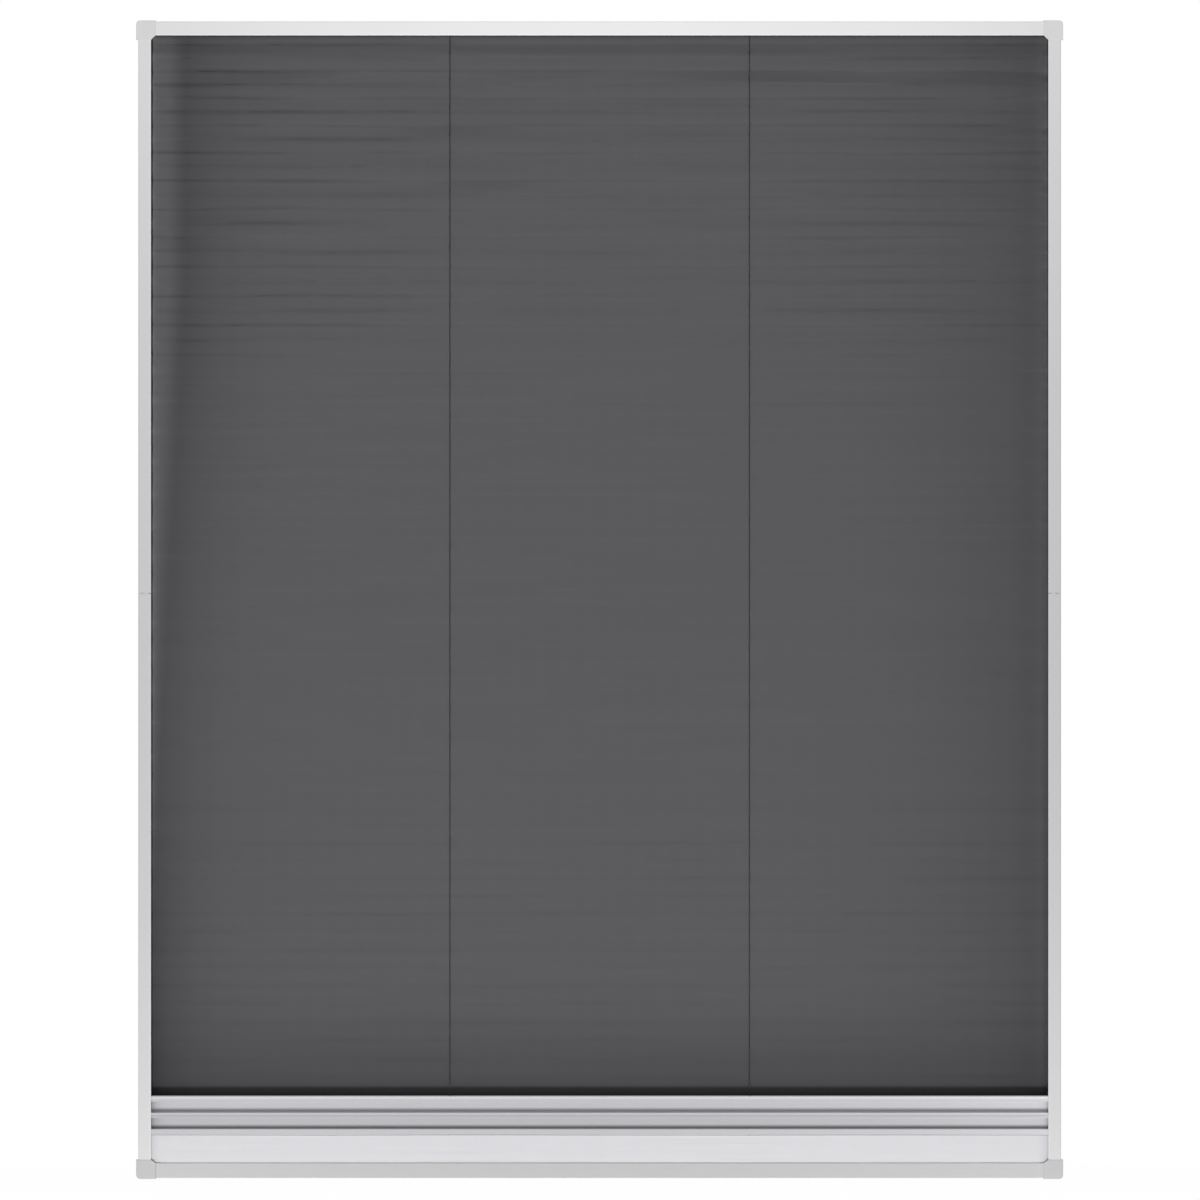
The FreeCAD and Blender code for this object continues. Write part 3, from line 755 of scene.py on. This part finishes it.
def makeInsectMesh(finish):
    # Depth is the crease's depth times a rounded triangle wave, arcsine of k times cosine over
    # arcsine of k. Height runs evenly from crease to crease, with each crease's own wander.
    values = pleatedMesh
    rng = np.random.default_rng(values["seed"])
    pleats = values["pleats"]
    count = pleats + 1
    skin = values["thickness"] / 2
    creaseHeight, creaseDepth = creasePlaces(values, meshLow.z + skin, meshHigh.z - skin)
    steps = values["holeWidth"] * np.array(values["holeSteps"])
    across = clothColumns(meshLow.x, meshHigh.x, values["columns"], steps)
    share = (across - meshLow.x) / (meshHigh.x - meshLow.x)
    shares = np.array(values["rowShares"])
    rows = np.append((np.arange(pleats)[:, None] + shares).ravel(), pleats)
    lines = np.arange(count)

    def between(table):
        # A table of one row for each crease, read at every row of the grid.
        below = np.minimum(rows.astype(int), count - 2)
        part = (rows - below)[:, None]
        return table[below] * (1 - part) + table[below + 1] * part

    held = np.minimum(1, np.minimum(lines, count - 1 - lines) / values["heldPleats"])[:, None]
    heights = creaseHeight[:, None] + held * wander(rng, count, share, *values["wanderHeight"])
    depths = 1 + held * wander(rng, count, share, *values["wanderDepth"])
    depths = creaseDepth[:, None] * depths
    k = values["roundness"]
    wave = np.arcsin(k * np.cos(np.pi * rows)) / math.asin(k)
    up = between(heights)
    deep = between(depths) * wave[:, None]

    # Near the side channels the cloth stands a little forward on the left and back on the
    # right, and above the bar it stands back.
    left, leftReach = values["bowLeft"]
    right, rightReach = values["bowRight"]
    fromLeft = (across - meshLow.x) / leftReach
    fromRight = (meshHigh.x - across) / rightReach
    bow = left * np.exp(-(fromLeft**2)) + right * np.exp(-(fromRight**2))
    free = np.minimum(1, np.minimum(rows, pleats - rows) / values["bowPleats"])[:, None]
    most, reach = values["barSetBack"]
    back = most * np.exp(-((rows / reach) ** 2))[:, None]
    deep = np.clip(deep + free * bow[None, :] + back, meshLow.y + skin, meshHigh.y - skin)
    side = np.broadcast_to(across[None, :], up.shape)
    points = np.stack([side, deep, up], axis=-1)
    length = np.broadcast_to(rows[:, None] * values["fold"], up.shape)
    clothMap = np.stack([side, length], axis=-1)

    # A hole is left out of each pleat's middle for each cord.
    middle = (across[:-1] + across[1:]) / 2
    atCord = np.abs(np.abs(middle) - cordAcross) < values["holeWidth"] / 4
    midPleat = np.abs(((rows[:-1] + rows[1:]) / 2) % 1 - 0.5) < 0.01
    kept = ~(midPleat[:, None] & atCord[None, :])
    quads = gridFaces(*up.shape)[kept]
    piece = newPiece("insectMesh", points, quads, finish, "cloth", clothMap)
    giveThickness(piece, values["thickness"])
    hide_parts("insect_mesh")
    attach(piece, "frame")
    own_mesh(piece)


# Folded shade

foldedShade = {
    "layers": 60,
    "fold": 0.018,
    "thickness": 0.0002,
    "bulge": 0.00012,
    "columns": 60,
    "wanderDepth": (4, 0.00008),
    "mostInward": 0.2,
    "slackAtTop": 0.00015,
    "slackSines": 4,
    "slump": 0.0019,
    "slumpRise": 0.0003,
    "slumpEnd": 0.012,
    "seed": 5,
}


def unsmooth(share):
    # Where a smoothstep from 0 to 1 comes to this share.
    return 0.5 - np.sin(np.arcsin(1 - 2 * share) / 3)


def makeShade(finish):
    # Layers folded to and fro and pressed. A fold is half an ellipse, as high as two layers less
    # the cloth's thickness and as deep as its bulge, so that folds above each other just touch,
    # and straight layers join the folds.
    values = foldedShade
    rng = np.random.default_rng(values["seed"])
    layers = values["layers"]
    count = layers + 1
    skin = values["thickness"] / 2
    pitch = (shadeHigh.z - shadeLow.z - values["thickness"]) / layers
    half = values["fold"] / 2 - skin

    turns = np.array([0.0, np.pi / 6, np.pi / 3, np.pi / 2])
    inFold = values["bulge"] * (1 - np.cos(turns))
    rise = (pitch - skin) * np.sin(turns)
    stepsIn = np.concatenate([inFold, [half], 2 * half - inFold[::-1][:-1]])
    stepsUp = np.concatenate([rise, [pitch / 2], pitch - rise[::-1][:-1]])
    number = np.arange(layers)[:, None]
    forth = np.where(number % 2 == 0, 1, -1)
    depth = np.append((forth * (stepsIn - half)).ravel(), half if layers % 2 else -half)
    height = np.append((number * pitch + stepsUp).ravel(), layers * pitch)
    share = np.append(((number + stepsIn / (2 * half)) / layers).ravel(), 1.0)
    below = np.minimum((share * layers).astype(int), count - 2)
    part = (share * layers - below)[:, None]

    def between(table):
        # A table of one row for each crease, read at every row of the grid.
        return table[below] * (1 - part) + table[below + 1] * part

    across = np.linspace(shadeLow.x, shadeHigh.x, values["columns"])
    place = (across - shadeLow.x) / (shadeHigh.x - shadeLow.x)
    drift = wander(rng, count, place, *values["wanderDepth"])
    drift = between(drift - drift.min())
    inward = 1 - np.minimum(drift / half, values["mostInward"])
    slack = wander(rng, 1, place, values["slackSines"], 1.0)[0]
    slack = values["slackAtTop"] * (slack - slack.min()) / np.ptp(slack)
    side = np.broadcast_to(across[None, :], drift.shape)
    up = shadeLow.z + skin + height[:, None] - np.clip(share, 0, 1)[:, None] ** 2 * slack[None, :]

    # Above the bottom rail's lip the folds lie a little forward, and less so towards the bar and
    # the side channels. Each crease has its own share of that, and the cloth between two creases
    # leads from one to the other.
    ends = np.clip((opening - np.abs(side)) / values["slumpEnd"], 0, 1)
    crease = shadeLow.z + np.arange(count) * pitch
    lean = np.clip((crease - lipEdge) / values["slumpRise"], 0, 1)
    lean = lean * np.clip((shadeHigh.z - crease) / (shadeHigh.z - lipEdge), 0, 1)
    lean = between(lean[:, None])
    deep = depth[:, None] * inward - values["slump"] * ends**2 * (3 - 2 * ends) * lean
    points = np.stack([side, deep, up], axis=-1)
    length = np.broadcast_to(share[:, None] * layers * values["fold"], side.shape)
    clothMap = np.stack([side, length], axis=-1)

    # The mesh is first made with heights that go by the cloth's length, and its points are then
    # moved to the folded shape.
    even = (shadeHigh.z - shadeLow.z) * unsmooth(share)[:, None] + shadeLow.z
    spread = np.stack([side, deep, np.broadcast_to(even, side.shape)], axis=-1)
    piece = newPiece("shadeFabric", spread, gridFaces(*side.shape), finish, "cloth", clothMap)
    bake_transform(piece)
    piece.data.vertices.foreach_set("co", points.astype(np.float32).ravel())
    piece.data.update()
    giveThickness(piece, values["thickness"])
    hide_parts("shade_fabric")


# Guide cords

twistedCord = {"strands": 3, "around": 12, "lay": 0.006, "rowsPerLay": 12, "dip": 0.16}


def makeCord(name, node, side, finish):
    # Radius is the cord's own times 1 less a dip between strands. Each column of points winds
    # once round in one lay, so that it stays on the same place of its strand.
    values = twistedCord
    around = values["around"]
    low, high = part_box(node)
    length = high.z - low.z
    rows = int(length / values["lay"] * values["rowsPerLay"]) + 1
    climb = np.linspace(0, 1, rows)[:, None] * length
    angle = np.linspace(0, 2 * np.pi, around, endpoint=False)[None, :]
    crown = 0.5 + 0.5 * np.cos(values["strands"] * angle)
    radius = cordRadius * (1 - values["dip"] * (1 - crown))
    turn = angle + 2 * np.pi * climb / values["lay"]
    x = side * cordAcross + radius * np.cos(turn)
    y = radius * np.sin(turn)
    z = np.broadcast_to(low.z + climb, x.shape)
    points = np.stack([x, y, z], axis=-1)
    strandMap = np.stack([np.broadcast_to(table, x.shape) for table in (crown, climb)], axis=-1)
    last = (rows - 1) * around
    foot = range(around)[::-1]
    head = range(last, last + around)
    quads = gridFaces(rows, around, closed=True)
    piece = newPiece(name, points, quads, finish, "strand", strandMap, (foot, head))
    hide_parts(node)
    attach(piece, "frame")


# Finishes on the frame's nodes

def dress(names, finish):
    for name in names:
        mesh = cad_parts[name].data
        mesh.materials.clear()
        mesh.materials.append(finish)


dress(["top_rail"], makePowderCoat("top"))
dress(["bottom_rail"], makePowderCoat("bottom"))
for side in sides:
    dress([f"{side}_rail_lower", f"{side}_rail_upper"], makePowderCoat(side))
dress(["pull_bar"], makePowderCoat("bar"))
dress([f"{side}_rail_joiner" for side in sides], makePlainMetal("joinerFinish"))
for end, level in mouldedPlastic["cornerLitLevels"].items():
    dress([f"corner_{end}_{side}" for side in sides], makePlastic(end + "CornerFinish", level))
smallParts = ("strip", "eyelet", "plug", "end_cap")
small = [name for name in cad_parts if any(part in name for part in smallParts)]
dress(small, makePlastic("stripFinish", mouldedPlastic["stripLevel"]))
print("finishes on the frame's nodes done")


# The pieces made anew

clothLength = pleatedMesh["pleats"] * pleatedMesh["fold"]
makeInsectMesh(makeMeshFinish(pleatedMesh["fold"], clothLength))
print("insect mesh done")
makeShade(makeShadeFinish())
print("shade done")
cordFinish = makeCordFinish()
makeCord("cordLeft", "cord_left", -1, cordFinish)
makeCord("cordRight", "cord_right", 1, cordFinish)
print("cords done")


# Camera, light and floor

camera = {
    "lens": 1000.0,
    "sensor": 36.0,
    "seenAcross": 1.0357,
    "aim": (0.0003, 0.0, 0.4998),
}


def makeCamera():
    # Straight on, so far back that the picture's width is what it covers at the frame's face.
    data = bpy.data.cameras.new("camera")
    data.lens = camera["lens"]
    data.sensor_width = camera["sensor"]
    distance = camera["lens"] / camera["sensor"] * camera["seenAcross"]
    made = bpy.data.objects.new("camera", data)
    made.location = Vector(camera["aim"]) + Vector((0, cadLow.y - distance, 0))
    made.rotation_euler = (math.pi / 2, 0, 0)
    bpy.context.scene.collection.objects.link(made)
    bpy.context.scene.camera = made


studio = {
    "keyFrom": (-0.05, -1.0, -0.74),
    "keyStrength": 1.96,
    "sunAngle": math.radians(13),
    "backFrom": (0.3, 1.0, -0.35),
    "backStrength": 1.2,
    "topPlace": (0.3, -1.2, 3.2),
    "topSize": 2.0,
    "topPower": 12.0,
    "around": 0.36,
}


def addLight(name, kind, place, aim, settings):
    data = bpy.data.lights.new(name, kind)
    for key, value in settings.items():
        setattr(data, key, value)
    made = bpy.data.objects.new(name, data)
    made.location = place
    made.rotation_euler = (Vector(aim) - Vector(place)).to_track_quat("-Z", "Y").to_euler()
    bpy.context.scene.collection.objects.link(made)


def addSun(name, source, strength):
    # A sun that shines from one side of the object onto its middle.
    aim = Vector(camera["aim"])
    settings = {"energy": strength, "angle": studio["sunAngle"]}
    addLight(name, "SUN", aim + Vector(source), aim, settings)


def makeStudio():
    # A soft key from low on the left, a weaker one on the object's back, a weak lamp above, even
    # light all round, and a white background that only the camera and reflections see.
    addSun("keyLight", studio["keyFrom"], studio["keyStrength"])
    addSun("backLight", studio["backFrom"], studio["backStrength"])
    settings = {"energy": studio["topPower"], "size": studio["topSize"]}
    addLight("topLight", "AREA", studio["topPlace"], camera["aim"], settings)
    world = bpy.data.worlds.new("studio")
    bpy.context.scene.world = world
    world.use_nodes = True
    base = Field(world.node_tree)
    names = ("Is Camera Ray", "Is Glossy Ray", "Is Transmission Ray")
    seen, glossy, through = [base.node("ShaderNodeLightPath", out=name) for name in names]
    direct = seen.math("MAXIMUM", glossy).math("MAXIMUM", through)
    background = world.node_tree.nodes["Background"]
    background.inputs["Color"].default_value = (1, 1, 1, 1)
    feed(base, background, "Strength", direct * (1 - studio["around"]) + studio["around"])


paleFloor = {
    "size": 12.0,
    "level": 0.9,
    "roughness": 0.9,
    "glow": 0.985,
    "near": 0.55,
    "far": 1.3,
}


def makeFloor():
    # A pale floor that keeps the object's shadow and turns white for the camera further out.
    values = paleFloor
    made, shader, base = newMaterial("floorFinish")
    shader.inputs["Base Color"].default_value = grey(values["level"])
    shader.inputs["Roughness"].default_value = values["roughness"]
    shader.inputs["Emission Color"].default_value = (1, 1, 1, 1)
    seen = base.node("ShaderNodeLightPath", out="Is Camera Ray")
    distance = base.node("ShaderNodeVectorMath", {"operation": "LENGTH"}, {0: objectPlace(base)}, 1)
    far = ramp(base, distance, values["near"], values["far"], True)
    white = seen * (far * (1 - values["glow"]) + values["glow"])
    glow = base.node("ShaderNodeEmission", None, {"Color": (1, 1, 1, 1), "Strength": 1.0})
    plain = Field(base.tree, shader.outputs[0])
    mix = base.node("ShaderNodeMixShader", None, {0: white, 1: plain, 2: glow})
    feed(base, made.node_tree.nodes["Material Output"], "Surface", mix)
    half = values["size"] / 2
    corners = np.array([[-half, -half, 0], [half, -half, 0], [half, half, 0], [-half, half, 0]])
    floor = newPiece("floor", corners, np.array([[0, 1, 2, 3]]), made)
    floor.visible_shadow = False


makeCamera()
makeStudio()
makeFloor()
bpy.context.scene.view_settings.view_transform = "Standard"
print("camera, light and floor done")
